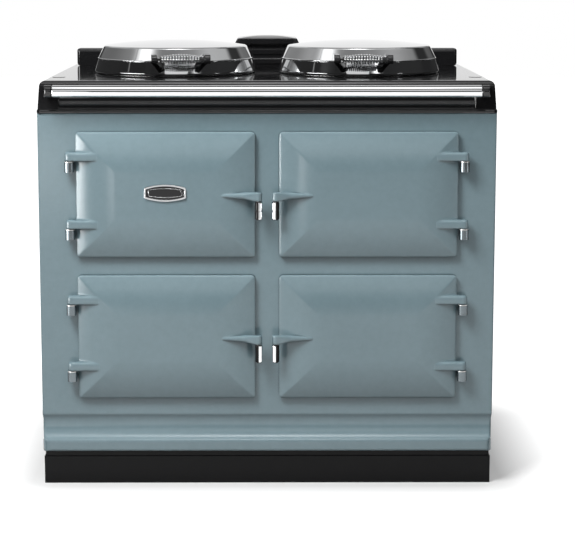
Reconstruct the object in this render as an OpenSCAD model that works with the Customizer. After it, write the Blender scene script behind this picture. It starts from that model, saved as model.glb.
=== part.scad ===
// Cast iron range cooker with four doors, two insulated lids and a front hand rail.
// X runs to the right, Y to the back and Z up. The origin is on the floor, under the middle of the cooker.

/* [Body] */
// Width of the enamelled body
body_w = 987; // [930:1:1060]
// Depth of the body from the face of its front plate to its back
body_d = 650; // [640:1:700]
// Height of the top plate's upper face above the floor
hob_z = 890; // [885:1:930]
// Height of the top plate's edge
hob_t = 70; // [60:1:72]
// Wall of the top plate casting
hob_wall = 12; // [9:0.5:14]
// How far the top plate's lip stands out past the body at each side
lip = 1.5; // [1:0.5:4]
// Height of the plinth
plinth_h = 61; // [50:1:65]
// Height of the shadow gap between the plinth and the body
gap_h = 17; // [12:1:20]
// Thickness of the cast front plate
front_t = 12; // [10:0.5:16]
// Thickness of each side panel
side_t = 8; // [5:0.5:10]
// How far the base moulding stands out from the front plate
mould_reach = 15; // [10:1:18]
// Height of the crease where the base moulding begins
mould_top = 158; // [150:1:162]

/* [Doors] */
// Width of a door
door_w = 385; // [376:1:388]
// Height of a door
door_h = 272; // [268:1:276]
// Thickness of a door at its rim
rim_t = 12; // [10:0.5:14]
// Thickness of a door at its middle
door_t = 29; // [26:0.5:31]
// Width of the curved slope round a door's flat middle
slope_w = 86; // [70:1:95]
// Clear space between the left and right doors
door_gap = 52; // [48:1:60]
// Height of the lower doors' bottom edge
door_z0 = 197; // [190:1:200]
// Clear space between the upper and lower doors
row_gap = 40; // [34:1:42]
// Width of the mouth behind each door
mouth_w = 350; // [340:1:352]
// Height of the mouth behind each door
mouth_h = 246; // [236:1:247]
// Depth of the plug that each door carries into the mouth
plug_t = 23; // [15:1:25]
// Distance from a door's edge to its hinge axis
hinge_out = 13; // [12.5:0.1:14]
// Distance from the front plate to the hinge axis
hinge_fwd = 20; // [18:0.5:22]
// Diameter of the hinge pins
pin_d = 8; // [6:0.5:9]
// Height of a hinge lug
lug_h = 20; // [16:1:22]
// Height of the lower lug's middle above the door's bottom edge
lug_low = 73.5; // [60:0.5:80]
// Height of the upper lug's middle above the door's bottom edge
lug_high = 220; // [200:1:225]

/* [Door handles] */
// Distance from the front plate to the hanging handle's axis
grip_fwd = 40; // [38:1:46]
// Distance from the middle of the cooker to the hanging handle's axis
grip_x = 18; // [17:0.5:20]
// Diameter of the hanging handle
grip_d = 16; // [12:0.5:17]
// Length of the hanging handle
grip_l = 37; // [30:1:44]
// Distance from the middle of the cooker to the tip of the cast horn
horn_tip = 99; // [80:1:110]

/* [Hand rail] */
// Diameter of the hand rail
rail_d = 26; // [22:1:30]
// Length of the hand rail
rail_l = 909; // [860:1:930]
// Distance from the front plate to the rail's axis
rail_reach = 35; // [32:1:45]
// Height of the rail's axis below the top plate's upper face
rail_drop = 20; // [16:1:26]
// Width of each rail bracket
bracket_w = 18; // [16:1:22]

/* [Lids and hotplates] */
// Distance from the middle of the cooker to each lid's middle
lid_x = 212; // [200:1:225]
// Distance from the front plate to the lids' middle
lid_y = 317; // [300:1:325]
// Largest radius of a lid
lid_r = 186; // [182:1:192]
// Height of a lid's crown above the top plate
lid_h = 74.5; // [68:0.5:80]
// Wall of a lid's shell
lid_wall = 2.5; // [2:0.5:4]
// Radius of a hotplate
plate_r = 165; // [150:1:166]
// Distance from the front plate to the lids' hinge axis
lid_axis_y = 535; // [530:1:540]
// Height of the lids' hinge axis above the top plate
lid_axis_z = 20; // [17:1:24]

/* [Lid handles] */
// Distance from a lid's middle to its handle's axis
coil_reach = 212; // [208:1:220]
// Height of the handle's axis above the top plate
coil_z = 40; // [36:1:46]
// Diameter of the coil's wire
wire_d = 4.5; // [3.5:0.1:4.8]
// Curls in the coil
coil_turns = 14; // [10:1:15]
// Length of the coil between its posts
coil_l = 104; // [100:1:116]
// Outer diameter of the coil at its middle
coil_mid_d = 23; // [20:0.5:26]
// Outer diameter of the coil at its ends
coil_end_d = 15; // [14.5:0.5:18]

/* [Rear] */
// Height of the rear upstand above the top plate
upstand_h = 43; // [36:1:50]
// Thickness of the rear upstand
upstand_t = 40; // [30:1:44]
// Width of the rear upstand
upstand_w = 940; // [900:1:960]
// Width of the vent stack
stack_w = 130; // [110:1:140]
// Width of the vent cap
cap_w = 159; // [140:1:170]
// Height of the vent cap's crown above the top plate
cap_h = 74.5; // [68:0.5:78]

/* [Ovens] */
// Depth of an oven
oven_d = 470; // [400:1:480]
// Wall of an oven casting
oven_wall = 8; // [6:0.5:10]
// Depth from the front plate to the control panel
panel_y = 78; // [72:1:90]
// Diameter of a control knob
knob_d = 36; // [30:1:44]

/* [Hidden] */
$fn = 48;

// fits
run_fit = 0.05; // radial clearance of a turning pin
face_fit = 0.3; // clearance between a moving face and its neighbour
seat_fit = 0.3; // clearance of a piece set into a hole
over = 1;       // how far a cut runs past a face

// main planes
overall_d = body_d + rail_reach + rail_d / 2;
front_y = -overall_d / 2 + rail_reach + rail_d / 2;
back_y = front_y + body_d;
body_x = body_w / 2;
body_z0 = plinth_h + gap_h;
body_z1 = hob_z - hob_t;
back_t = 3;

// base
plinth_wall = 3;
plinth_flange = 25;
plinth_x = body_x - 1.5;
plinth_y0 = front_y + 8;
plinth_y1 = back_y - 8;
base_inset = 4;
base_y0 = front_y + 10;
foot_inset = 60;
foot_r = 25;
foot_h = 9;
stud_r = 6;
nut_r = 12;
nut_h = 10;
panel_flange_t = 10;
panel_flange_d = 40;

// front plate moulding
bull_r = 7;
bull_z = mould_top - 59;
bull_meets = 125; // angle round the bullnose at which the cove runs into it
foot_round = 4;
mould_corner = 17;
mould_flat_top = mould_top - 25;
waist = 3.5;      // how far the cove draws in the ends of the moulding

// doors
door_x0 = door_gap / 2;
door_mid_x = door_x0 + door_w / 2;
row_z = [door_z0, door_z0 + door_h + row_gap];
door_air = 1.5;
door_back_y = front_y - door_air;
rim_r = 5;
door_corner_r = 8;
plug_gap = 6;
mouth_r = 14;
axis_x = door_x0 + door_w + hinge_out;
axis_y = front_y - hinge_fwd;
pin_r = pin_d / 2;
lug_r = 9;
knuckle_r = 10.5;
knuckle_h = 21;
collar_h = 2;
lug_run = 50;
lug_round = 6; // radius of a lug's upper edge
lug_under = 2; // and of its lower edge
arm_step = 0.5; // how much its boss stands out of its arm
lug_zs = [lug_low, lug_high];
seal_gap = 2.5;
seal_w = 6;
seal_sink = 4;
seal_out = 1;

// door handles
grip_y = front_y - grip_fwd;
horn_r = 9.5;
grip_drop = 12;
spindle_r = 3;

// hand rail
rail_y = front_y - rail_reach;
rail_z = hob_z - rail_drop;
fascia_y = front_y - 2;
socket_d = 6;
rail_nose = 3;
rail_neck_r = rail_d / 2 - 2;
hollow_r = 40;    // radius of the hollow behind the rail
hollow_in = 34;   // how far its middle lies in front of the fascia
hollow_drop = 18; // and below the rail
hollow_end = 8;

// corner caps of the top plate
boss_in = 33;
boss_y = 127;
boss_r = 14;
boss_sink = 3;
boss_fit = 0.2;
hob_corner = 12;

// lids
lid_cy = front_y + lid_y;
lid_ay = front_y + lid_axis_y;
lid_az = hob_z + lid_axis_z;
lid_lift = 1;
handle_turn = [6, 0];
arm_w = 36;
arm_eye_r = 11;
lid_pin_r = 5;
ear_t = 8;

// hotplates
ring_gap = 1;
ring_in = plate_r + ring_gap;
ring_out = ring_in + 10;
ring_lip = 6;
plate_t = 26;
plate_up = 3;
element_t = 14;

// rear
upstand_y0 = front_y + 580;
stack_y0 = front_y + 562;
stack_y1 = back_y - 4;
stack_h = 55;
rib_t = 11;
rib_z0 = 7;
rib_pitch = 23;
rib_sink = 5;
cap_y0 = front_y + 552;
band_h = 12.8;  // height of the cap's band
band_lean = 6.5; // how far the band leans in at its ends

// ovens
cavity_y0 = front_y + front_t;
flange_y1 = cavity_y0 + panel_flange_d;
shelf_gap = 3;
shelf_bar = 6;
shelf_rod_r = 2;
shelf_rods = 11;
runner = 7;
runner_z = -30;

// controls
box_wall = 2;
box_depth = 200;
panel_t = 3;
knob_pin_r = 3;
knob_pitch = mouth_w / 5;

// lid handle
wire_r = wire_d / 2;
post_w = 13;
post_t = 20;

// badge
badge_w = 89;
badge_h = 36;
badge_end = 22; // height of its straight ends
badge_rim_w = 3;
badge_dx = 0;
badge_dz = 7;

BLUE = [0.45, 0.53, 0.56];
BLACK = [0.08, 0.08, 0.09];
CHROME = [0.78, 0.79, 0.8];
STEEL = [0.6, 0.61, 0.62];
IRON = [0.2, 0.2, 0.2];

// ---------- helpers ----------

function arc(cx, cy, r, a0, a1, n) = [
  for (i = [0:n]) let (a = a0 + (a1 - a0) * i / n) [cx + r * cos(a), cy + r * sin(a)]
];

function round_rect(x0, y0, x1, y1, r, n = 4) = concat(
  arc(x1 - r, y1 - r, r, 0, 90, n),
  arc(x0 + r, y1 - r, r, 90, 180, n),
  arc(x0 + r, y0 + r, r, 180, 270, n),
  arc(x1 - r, y0 + r, r, 270, 360, n)
);

module block(lo, hi) {
  translate(lo) cube(hi - lo);
}

// a drawing in Y and Z, run along X
module along_x(x0, x1) {
  translate([x0, 0, 0]) rotate([90, 0, 90]) linear_extrude(x1 - x0) children();
}

// a drawing in X and Z, run along Y
module along_y(y0, y1) {
  translate([0, y1, 0]) rotate([90, 0, 0]) linear_extrude(y1 - y0) children();
}

// a drawing in X and Y, run along Z
module along_z(z0, z1) {
  translate([0, 0, z0]) linear_extrude(z1 - z0) children();
}

module both_sides() {
  children();
  mirror([1, 0, 0]) children();
}

// each of the four door places: s is -1 at the left, row is 0 for the lower one
module at_door(s, row) {
  translate([0, 0, row_z[row]]) mirror([s > 0 ? 0 : 1, 0, 0]) children();
}

module all_doors() {
  for (s = [-1, 1], row = [0, 1]) at_door(s, row) children();
}

// ---------- base ----------

module plinth() color(BLACK) difference() {
  block([-plinth_x, plinth_y0, 0], [plinth_x, plinth_y1, plinth_h]);
  block(
    [-plinth_x + plinth_wall, plinth_y0 + plinth_wall, plinth_wall],
    [plinth_x - plinth_wall, plinth_y1 - plinth_wall, plinth_h - plinth_wall]
  );
  block(
    [-plinth_x + plinth_flange, plinth_y0 + plinth_flange, -over],
    [plinth_x - plinth_flange, plinth_y1 - plinth_flange, plinth_h + over]
  );
}

module levelling_feet() color(STEEL) for (x = [-1, 1] * (plinth_x - foot_inset))
  for (y = [plinth_y0 + foot_inset, plinth_y1 - foot_inset]) translate([x, y, 0]) {
    cylinder(r = foot_r, h = foot_h);
    translate([0, 0, foot_h - over]) cylinder(r = stud_r, h = plinth_h - foot_h + over);
    translate([0, 0, plinth_h - nut_h]) cylinder(r = nut_r, h = nut_h, $fn = 6);
  }

module base_plate() color(BLACK)
  block([-body_x + base_inset, base_y0, plinth_h], [body_x - base_inset, back_y - base_inset, body_z0]);

// ---------- casing ----------

// plan of the front plate, with its two front corners rounded
// plan of the moulding, with rounded corners
module front_plan() {
  r = mould_corner;
  polygon(concat(
    [[body_x, flange_y1], [-body_x, flange_y1]],
    arc(-body_x + r, front_y - mould_reach + r, r, 180, 270, 8),
    arc(body_x - r, front_y - mould_reach + r, r, 270, 360, 8)
  ));
}

module front_profile() {
  bull_y = front_y - mould_reach + bull_r;
  // the cove's arc runs from the crease and turns without a corner into the bullnose
  n = [cos(bull_meets), sin(bull_meets)];
  meet = [bull_y, bull_z] + bull_r * n;
  d = meet - [front_y, mould_top];
  cove_r = -(d * d) / (2 * (n * d));
  c = meet + cove_r * n;
  polygon(concat(
    [
      [flange_y1, body_z0],
      [flange_y1, body_z0 + panel_flange_t],
      [cavity_y0, body_z0 + panel_flange_t],
      [cavity_y0, body_z1 - panel_flange_t],
      [cavity_y0 + panel_flange_d / 2, body_z1 - panel_flange_t],
      [cavity_y0 + panel_flange_d / 2, body_z1],
      [front_y, body_z1]
    ],
    arc(c[0], c[1], cove_r, atan2(mould_top - c[1], front_y - c[0]), bull_meets - 180, 14),
    arc(bull_y, bull_z, bull_r, bull_meets, 180, 5),
    arc(front_y - mould_reach + foot_round, body_z0 + foot_round, foot_round, 180, 270, 4)
  ));
}

// the front plate seen from the front: its ends are drawn in a little by the cove
module front_outline() {
  x = body_x - bull_r;
  right = concat(
    arc(body_x - foot_round, body_z0 + foot_round, foot_round, -90, 0, 4),
    arc(x, bull_z, bull_r, 0, 60, 4),
    [
      [body_x - waist, bull_z + bull_r + 2],
      [body_x - waist * 0.7, mould_flat_top],
      [body_x, mould_top],
      [body_x, body_z1]
    ]
  );
  left = [for (i = [len(right) - 1:-1:0]) [-right[i][0], right[i][1]]];
  polygon(concat(right, left));
}

module mouth(r = mouth_r, grow = 0) {
  polygon(round_rect(
    door_mid_x - mouth_w / 2 - grow, door_h / 2 - mouth_h / 2 - grow,
    door_mid_x + mouth_w / 2 + grow, door_h / 2 + mouth_h / 2 + grow, r + grow));
}

module front_plate() color(BLUE) difference() {
  intersection() {
    along_x(-body_x, body_x) front_profile();
    along_y(front_y - mould_reach - over, flange_y1 + over) front_outline();
    union() {
      along_z(body_z0 - over, mould_top + over) front_plan();
      // above a slanting stop the corners are square
      along_y(front_y - mould_reach - over, flange_y1) polygon([
        [-body_x, body_z1 + over], [-body_x, mould_top], [-body_x + mould_corner, mould_flat_top],
        [body_x - mould_corner, mould_flat_top], [body_x, mould_top], [body_x, body_z1 + over]
      ]);
    }
  }
  all_doors() {
    along_y(front_y - over, cavity_y0 + over) mouth();
    along_y(front_y - over, front_y + seal_sink) mouth(grow = seal_gap + seal_w);
  }
  // the flanges stop at the side panels
  both_sides() block(
    [body_x - side_t - seat_fit, cavity_y0, body_z0 - over],
    [body_x + over, flange_y1 + over, body_z1 + over]
  );
}

module side_panel() {
  block([body_x - side_t, cavity_y0, body_z0], [body_x, back_y, body_z1]);
}

module right_side_panel() color(BLUE) side_panel();

module left_side_panel() color(BLUE) mirror([1, 0, 0]) side_panel();

module back_panel() color(BLACK) difference() {
  block([-body_x + side_t, back_y - back_t, body_z0], [body_x - side_t, back_y, body_z1]);
  // cooling slots
  for (x = [-300, 0, 300], i = [0:5])
    block([x - 60, back_y - back_t - over, 640 + i * 18], [x + 60, back_y + over, 646 + i * 18]);
}

// ---------- top ----------

module hob_front_profile() {
  r = 12;
  polygon(concat(
    [[back_y, body_z1], [back_y, hob_z]],
    arc(fascia_y + r, hob_z - r, r, 90, 180, 6),
    [[fascia_y, body_z1 + 9]],
    arc(fascia_y + 1, body_z1 + 4, 3.5, 130, 230, 5),
    [[fascia_y, body_z1]]
  ));
}

module hob_side_profile() {
  r = 12;
  x = body_x + lip;
  right = concat(
    [[x - 1, body_z1], [x, body_z1 + 3], [x, body_z1 + 6], [x - 3, body_z1 + 9]],
    arc(x - 7 - r, hob_z - r, r, 0, 90, 8)
  );
  left = [for (i = [len(right) - 1:-1:0]) [-right[i][0], right[i][1]]];
  polygon(concat(right, left));
}

module top_plate() color(BLACK) difference() {
  x = body_x + lip;
  intersection() {
    along_x(-x, x) hob_front_profile();
    along_y(front_y - 10, back_y) hob_side_profile();
    // front corners are rounded in plan
    along_z(body_z1 - over, hob_z + over)
      polygon(round_rect(-x, fascia_y - 3, x, back_y + 2 * hob_corner, hob_corner, 6));
  }
  // hollow underside
  block(
    [-body_x + hob_wall, front_y + hob_wall, body_z1 - over],
    [body_x - hob_wall, back_y - hob_wall, hob_z - hob_wall]
  );
  // long hollow behind the rail
  translate([-rail_l / 2 + hollow_end, fascia_y - hollow_in, rail_z - hollow_drop]) rotate([0, 90, 0])
    cylinder(r = hollow_r, h = rail_l - 2 * hollow_end, $fn = 96);
  for (s = [-1, 1])
    translate([s * lid_x, lid_cy, hob_z - hob_t])
      cylinder(r = ring_out + seat_fit, h = hob_t + over, $fn = 96);
  corner_spots() cylinder(r = boss_r + boss_fit, h = boss_sink + over);
}

module corner_spots() {
  both_sides() translate([body_x - boss_in, front_y + boss_y, hob_z - boss_sink]) children();
}

module corner_caps() color(BLACK) corner_spots() cylinder(r = boss_r, h = boss_sink + 0.6);

module hotplate(s) color(IRON) translate([s * lid_x, lid_cy, hob_z + plate_up - plate_t]) difference() {
  cylinder(r = plate_r, h = plate_t, $fn = 96);
  for (r = [25:20:plate_r - 20]) translate([0, 0, plate_t - 0.8]) difference() {
    cylinder(r = r + 1, h = 2);
    translate([0, 0, -over]) cylinder(r = r - 1, h = 4);
  }
}

module left_hotplate() hotplate(-1);

module right_hotplate() hotplate(1);

module hotplate_rings() color(STEEL) for (s = [-1, 1]) translate([s * lid_x, lid_cy, 0])
  rotate_extrude($fn = 96) polygon([
    [ring_in - ring_lip, hob_z + plate_up - plate_t - 6],
    [ring_out, hob_z + plate_up - plate_t - 6],
    [ring_out, hob_z],
    [ring_out + 3, hob_z],
    [ring_out + 2, hob_z + 1.5],
    [ring_in, hob_z + 1.5],
    [ring_in, hob_z + plate_up - plate_t],
    [ring_in - ring_lip, hob_z + plate_up - plate_t]
  ]);

module heating_elements() color(STEEL) for (s = [-1, 1])
  translate([s * lid_x, lid_cy, hob_z + plate_up - plate_t - element_t])
    cylinder(r = ring_in - ring_lip - 4, h = element_t);

// ---------- rear ----------

module rear_upstand() color(BLACK) difference() {
  r = 8;
  intersection() {
    along_y(upstand_y0, upstand_y0 + upstand_t)
      polygon(concat(
        arc(-upstand_w / 2 + r, hob_z + r, r, 180, 270, 5),
        arc(upstand_w / 2 - r, hob_z + r, r, 270, 360, 5),
        arc(upstand_w / 2 - r, hob_z + upstand_h - r, r, 0, 90, 5),
        arc(-upstand_w / 2 + r, hob_z + upstand_h - r, r, 90, 180, 5)
      ));
    along_z(hob_z - over, hob_z + upstand_h + over)
      polygon(round_rect(-upstand_w / 2, upstand_y0, upstand_w / 2, upstand_y0 + upstand_t, r, 5));
    along_x(-upstand_w / 2, upstand_w / 2)
      polygon(concat(
        [[upstand_y0, hob_z], [upstand_y0 + upstand_t, hob_z]],
        arc(upstand_y0 + upstand_t - r, hob_z + upstand_h - r, r, 0, 90, 5),
        arc(upstand_y0 + r, hob_z + upstand_h - r, r, 90, 180, 5)
      ));
  }
  block(
    [-stack_w / 2 - seat_fit, stack_y0 - over, hob_z - over],
    [stack_w / 2 + seat_fit, back_y, hob_z + upstand_h + over]
  );
}

module vent_stack() color(BLACK) {
  block(
    [-stack_w / 2 + rib_sink, stack_y0 + rib_sink, hob_z],
    [stack_w / 2 - rib_sink, stack_y1 - rib_sink, hob_z + stack_h]
  );
  for (i = [0:2]) let (z = hob_z + rib_z0 + i * rib_pitch) along_z(z, min(z + rib_t, hob_z + stack_h))
    polygon(round_rect(-stack_w / 2, stack_y0, stack_w / 2, stack_y1, 6));
}

// a flat-faced band all round with a low crown on top
module vent_cap() color(BLACK) intersection() {
  z0 = hob_z + stack_h;
  z1 = z0 + band_h;
  z2 = hob_z + cap_h;
  half = cap_w / 2;
  depth = back_y - cap_y0;
  flat = half - band_lean;
  crown_x = (flat * flat + (z2 - z1) * (z2 - z1)) / (2 * (z2 - z1));
  crown_y = (depth * depth / 4 + (z2 - z1) * (z2 - z1)) / (2 * (z2 - z1));
  lean_x = asin(flat / crown_x);
  lean_y = asin(depth / 2 / crown_y);
  along_y(cap_y0, back_y)
    polygon(concat([[-half, z0], [half, z0]], arc(0, z2 - crown_x, crown_x, 90 - lean_x, 90 + lean_x, 24)));
  along_x(-half, half)
    polygon(concat(
      [[cap_y0, z0], [back_y, z0]],
      arc((cap_y0 + back_y) / 2, z2 - crown_y, crown_y, 90 - lean_y, 90 + lean_y, 16)
    ));
  along_z(z0 - over, z2 + over)
    polygon(round_rect(-half, cap_y0, half, back_y, 12, 5));
}

// ---------- hand rail ----------

module hand_rail() color(CHROME) translate([0, rail_y, rail_z]) rotate([0, 90, 0]) {
  h = rail_l / 2;
  translate([0, 0, -h]) cylinder(r = rail_d / 2, h = rail_l, $fn = 64);
  for (m = [0, 1]) mirror([0, 0, m]) {
    translate([0, 0, h]) cylinder(r1 = rail_d / 2, r2 = rail_neck_r, h = rail_nose, $fn = 64);
    translate([0, 0, h + rail_nose]) cylinder(r = rail_neck_r, h = socket_d, $fn = 64);
  }
}

module rail_brackets() color(BLACK) both_sides() difference() {
  x0 = rail_l / 2 + rail_nose;
  r = rail_d / 2;
  difference() {
    along_x(x0, x0 + bracket_w - rail_nose) union() {
      translate([rail_y, rail_z]) circle(r = r, $fn = 64);
      translate([rail_y, rail_z - r + 2]) square([fascia_y - rail_y, 2 * r - 3]);
    }
    // outer edge rounded in plan
    along_z(rail_z - r - over, rail_z + r + over) difference() {
      translate([x0 + bracket_w - rail_nose - 5, rail_y - r - over]) square([5 + over, 5 + over]);
      translate([x0 + bracket_w - rail_nose - 5, rail_y - r + 5]) circle(r = 5, $fn = 32);
    }
  }
  translate([x0 - over, rail_y, rail_z]) rotate([0, 90, 0])
    cylinder(r = rail_neck_r + run_fit, h = socket_d + over + 0.2, $fn = 64);
}

// ---------- ovens ----------

module oven_shell(wall, depth) difference() {
  along_y(cavity_y0, cavity_y0 + depth + wall) mouth(grow = wall);
  along_y(cavity_y0 - over, cavity_y0 + depth) mouth();
}

module oven(s, row) at_door(s, row) {
  oven_shell(oven_wall, oven_d);
  for (side = [-1, 1], h = [runner_z, runner_z + 70])
    translate([door_mid_x + side * (mouth_w / 2 - runner / 2 + 0.5), 0, door_h / 2 + h])
      block(
        [-runner / 2 - 0.5, cavity_y0 + 20, -runner / 2],
        [runner / 2 + 0.5, cavity_y0 + oven_d - 20, runner / 2]
      );
}

module roasting_oven() color(IRON) oven(1, 1);

module baking_oven() color(IRON) oven(1, 0);

module simmering_oven() color(IRON) oven(-1, 0);

// one shelf: flat bars at its front and back carry round rods, and it rests on the lower runners
module wire_shelf() {
  z = door_h / 2 + runner_z + runner / 2;
  x0 = door_mid_x - mouth_w / 2 + shelf_gap;
  x1 = door_mid_x + mouth_w / 2 - shelf_gap;
  y0 = cavity_y0 + 30;
  y1 = cavity_y0 + oven_d - 24;
  for (y = [y0, y1 - shelf_bar]) block([x0, y, z], [x1, y + shelf_bar, z + shelf_bar]);
  for (i = [0:shelf_rods - 1])
    translate([x0 + 6 + i * (x1 - x0 - 12) / (shelf_rods - 1), y0 + shelf_bar / 2, z + shelf_bar / 2])
      rotate([-90, 0, 0]) cylinder(r = shelf_rod_r, h = y1 - y0 - shelf_bar, $fn = 24);
}

module oven_shelves() color(STEEL) {
  at_door(1, 1) wire_shelf();
  at_door(1, 0) wire_shelf();
  at_door(-1, 0) wire_shelf();
}

module control_box() color(STEEL) at_door(-1, 1) oven_shell(box_wall, box_depth);

module control_panel() color(IRON) difference() {
  at_door(-1, 1) along_y(front_y + panel_y, front_y + panel_y + panel_t) mouth(grow = -seat_fit);
  for (i = [0:3]) knob_place(i) rotate([90, 0, 0])
    cylinder(r = knob_pin_r + run_fit, h = 4 * panel_t, center = true);
}

module knob_place(i) {
  translate([-door_mid_x + (i - 1.5) * knob_pitch, front_y + panel_y, row_z[1] + door_h / 2]) children();
}

module knob(i) color(BLACK) knob_place(i) rotate([90, 0, 0]) {
  translate([0, 0, -3 * panel_t]) cylinder(r = knob_pin_r, h = 3 * panel_t + 1);
  translate([0, 0, face_fit]) {
    cylinder(r = knob_d / 2, h = 4);
    cylinder(r = knob_d / 2 - 5, h = 12);
    block([-4, -knob_d / 2 + 1, 0], [4, knob_d / 2 - 1, 22]);
  }
}

module knob_1() knob(0);

module knob_2() knob(1);

module knob_3() knob(2);

module knob_4() knob(3);

module door_seals() color(BLACK) all_doors() difference() {
  along_y(front_y - seal_out, front_y + seal_sink) mouth(grow = seal_gap + seal_w);
  along_y(front_y - seal_out - over, front_y + seal_sink + over) mouth(grow = seal_gap);
}

// ---------- doors ----------

// what the curved slope takes off a door along one edge: a drawing across the edge
module slope_cut() {
  rise = door_t - rim_t;
  r = (slope_w * slope_w + rise * rise) / (2 * rise);
  difference() {
    union() {
      translate([-over, 0]) square([slope_w + over, rise + 2 * over]);
      // breaks the rim's edge in a few flats
      polygon(concat(
        [[-over, over], [-over, -rim_r]],
        arc(rim_r, -rim_r, rim_r, 180, 90, 4),
        [[rim_r, over]]
      ));
    }
    translate([slope_w + 3, -r + rise + 0.05]) circle(r = r, $fn = 360);
  }
}

// a door's solid, its back at y = 0 and its front towards -Y
module door_blank() difference() {
  along_y(-door_t, 0) polygon(round_rect(0, 0, door_w, door_h, door_corner_r));
  for (side = [0, 1]) translate([side * door_w, 0, 0]) mirror([side, 0, 0])
    translate([0, -rim_t, -over]) linear_extrude(door_h + 2 * over) mirror([0, 1]) slope_cut();
  for (side = [0, 1]) translate([0, 0, side * door_h]) mirror([0, 0, side])
    translate([-over, -rim_t, 0]) rotate([90, 0, 90]) linear_extrude(door_w + 2 * over)
      mirror([1, 0]) rotate(90) mirror([0, 1]) slope_cut();
}

// a hinge lug: a boss round the pin and an arm that lies along the door, its upper edge well rounded
module lug() {
  z0 = -lug_h / 2;
  z1 = lug_h / 2;
  end_x = axis_x - hinge_out - lug_run;
  end_y = door_back_y - door_t + 3.5;
  front = axis_y - lug_r;
  translate([axis_x, axis_y, 0]) rotate_extrude() polygon(concat(
    [[0, z0]],
    arc(lug_r - lug_under, z0 + lug_under, lug_under, 270, 360, 3),
    arc(lug_r - lug_round, z1 - lug_round, lug_round, 0, 90, 6),
    [[0, z1]]
  ));
  intersection() {
    along_z(z0 - over, z1 + over) polygon(concat(
      [[axis_x, front - 2], [axis_x, axis_y + lug_r - 2]],
      [[axis_x - hinge_out - 5, door_back_y - rim_t / 2], [end_x, door_back_y - rim_t]],
      arc(end_x + lug_round, end_y + lug_round - arm_step, lug_round, 180, 270, 5)
    ));
    translate([axis_x, front + arm_step, 0]) rotate([0, 0, -atan((end_y - front - arm_step) / (axis_x - end_x))])
      along_x(end_x - axis_x - lug_round, lug_round) polygon(concat(
        [[3 * lug_r, z0 + arm_step]],
        [[3 * lug_r, z1 - arm_step]],
        arc(lug_round, z1 - arm_step - lug_round, lug_round, 90, 180, 5),
        arc(lug_under, z0 + arm_step + lug_under, lug_under, 180, 270, 2)
      ));
  }
}

module horn() {
  mid = door_h / 2;
  hull() {
    translate([horn_tip - 3, door_back_y - door_t + 2, mid]) sphere(r = 3, $fn = 24);
    translate([48, door_back_y - door_t - 2, mid + 0.5]) sphere(r = 8, $fn = 32);
  }
  hull() {
    translate([48, door_back_y - door_t - 2, mid + 0.5]) sphere(r = 8, $fn = 32);
    translate([grip_x + 1, grip_y, mid]) cylinder(r = grip_d / 2, h = 2 * horn_r, center = true, $fn = 32);
  }
}

module door(s, row) color(BLUE) at_door(s, row) difference() {
  union() {
    translate([door_x0, door_back_y, 0]) door_blank();
    for (z = lug_zs) translate([0, 0, z]) lug();
    horn();
  }
  for (z = lug_zs) translate([axis_x, axis_y, z - lug_h / 2 - over]) cylinder(r = pin_r + run_fit, h = lug_h - 3 + over);
  translate([grip_x, grip_y, door_h / 2 - horn_r - over]) cylinder(r = spindle_r, h = horn_r + over);
}

module control_door() door(-1, 1);

module roasting_door() door(1, 1);

module simmering_door() door(-1, 0);

module baking_door() door(1, 0);

module door_liner(s, row) color(STEEL) at_door(s, row) {
  along_y(door_back_y, front_y + plug_t) mouth(grow = -plug_gap);
}

module control_door_liner() door_liner(-1, 1);

module roasting_door_liner() door_liner(1, 1);

module simmering_door_liner() door_liner(-1, 0);

module baking_door_liner() door_liner(1, 0);

module door_grip(s, row) color(CHROME) at_door(s, row) translate([grip_x, grip_y, door_h / 2 - grip_drop - grip_l])
  rotate_extrude() polygon(concat(
    [[spindle_r + run_fit, 0]],
    arc(grip_d / 2 - 2, 2, 2, 270, 360, 3),
    row == 1 ? [
      [grip_d / 2, grip_l * 0.46], [grip_d / 2 - 1.2, grip_l * 0.48],
      [grip_d / 2 - 1.2, grip_l * 0.54], [grip_d / 2, grip_l * 0.56]
    ] : [],
    arc(grip_d / 2 - 1.5, grip_l - 1.5, 1.5, 0, 90, 3),
    [[spindle_r + run_fit, grip_l]]
  ));

module control_door_grip() door_grip(-1, 1);

module roasting_door_grip() door_grip(1, 1);

module simmering_door_grip() door_grip(-1, 0);

module baking_door_grip() door_grip(1, 0);

module door_spindle(s, row) color(BLACK) at_door(s, row) translate([grip_x, grip_y, 0]) {
  top = door_h / 2;
  z0 = top - grip_drop - grip_l;
  translate([0, 0, z0 - 1.5]) cylinder(r = spindle_r, h = top - z0);
  translate([0, 0, z0 - 1.5]) cylinder(r = spindle_r + 2, h = 1.5);
  translate([0, 0, top - grip_drop]) cylinder(r = grip_d / 2 - 1.5, h = grip_drop - horn_r);
}

module control_door_spindle() door_spindle(-1, 1);

module roasting_door_spindle() door_spindle(1, 1);

module simmering_door_spindle() door_spindle(-1, 0);

module baking_door_spindle() door_spindle(1, 0);

// ---------- door hinges ----------

module hinge_spots() {
  all_doors() for (z = lug_zs) translate([0, 0, z - lug_h / 2 - face_fit]) children();
}

module door_hinge_brackets() color(BLUE) hinge_spots() difference() {
  translate([0, 0, -collar_h - knuckle_h]) union() {
    translate([axis_x, axis_y, 0]) cylinder(r = knuckle_r, h = knuckle_h);
    block([axis_x - 7, axis_y, 4], [axis_x + 8, front_y, knuckle_h]);
  }
  translate([axis_x, axis_y, -collar_h - knuckle_h - over]) cylinder(r = pin_r + run_fit, h = knuckle_h + 2 * over);
}

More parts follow.
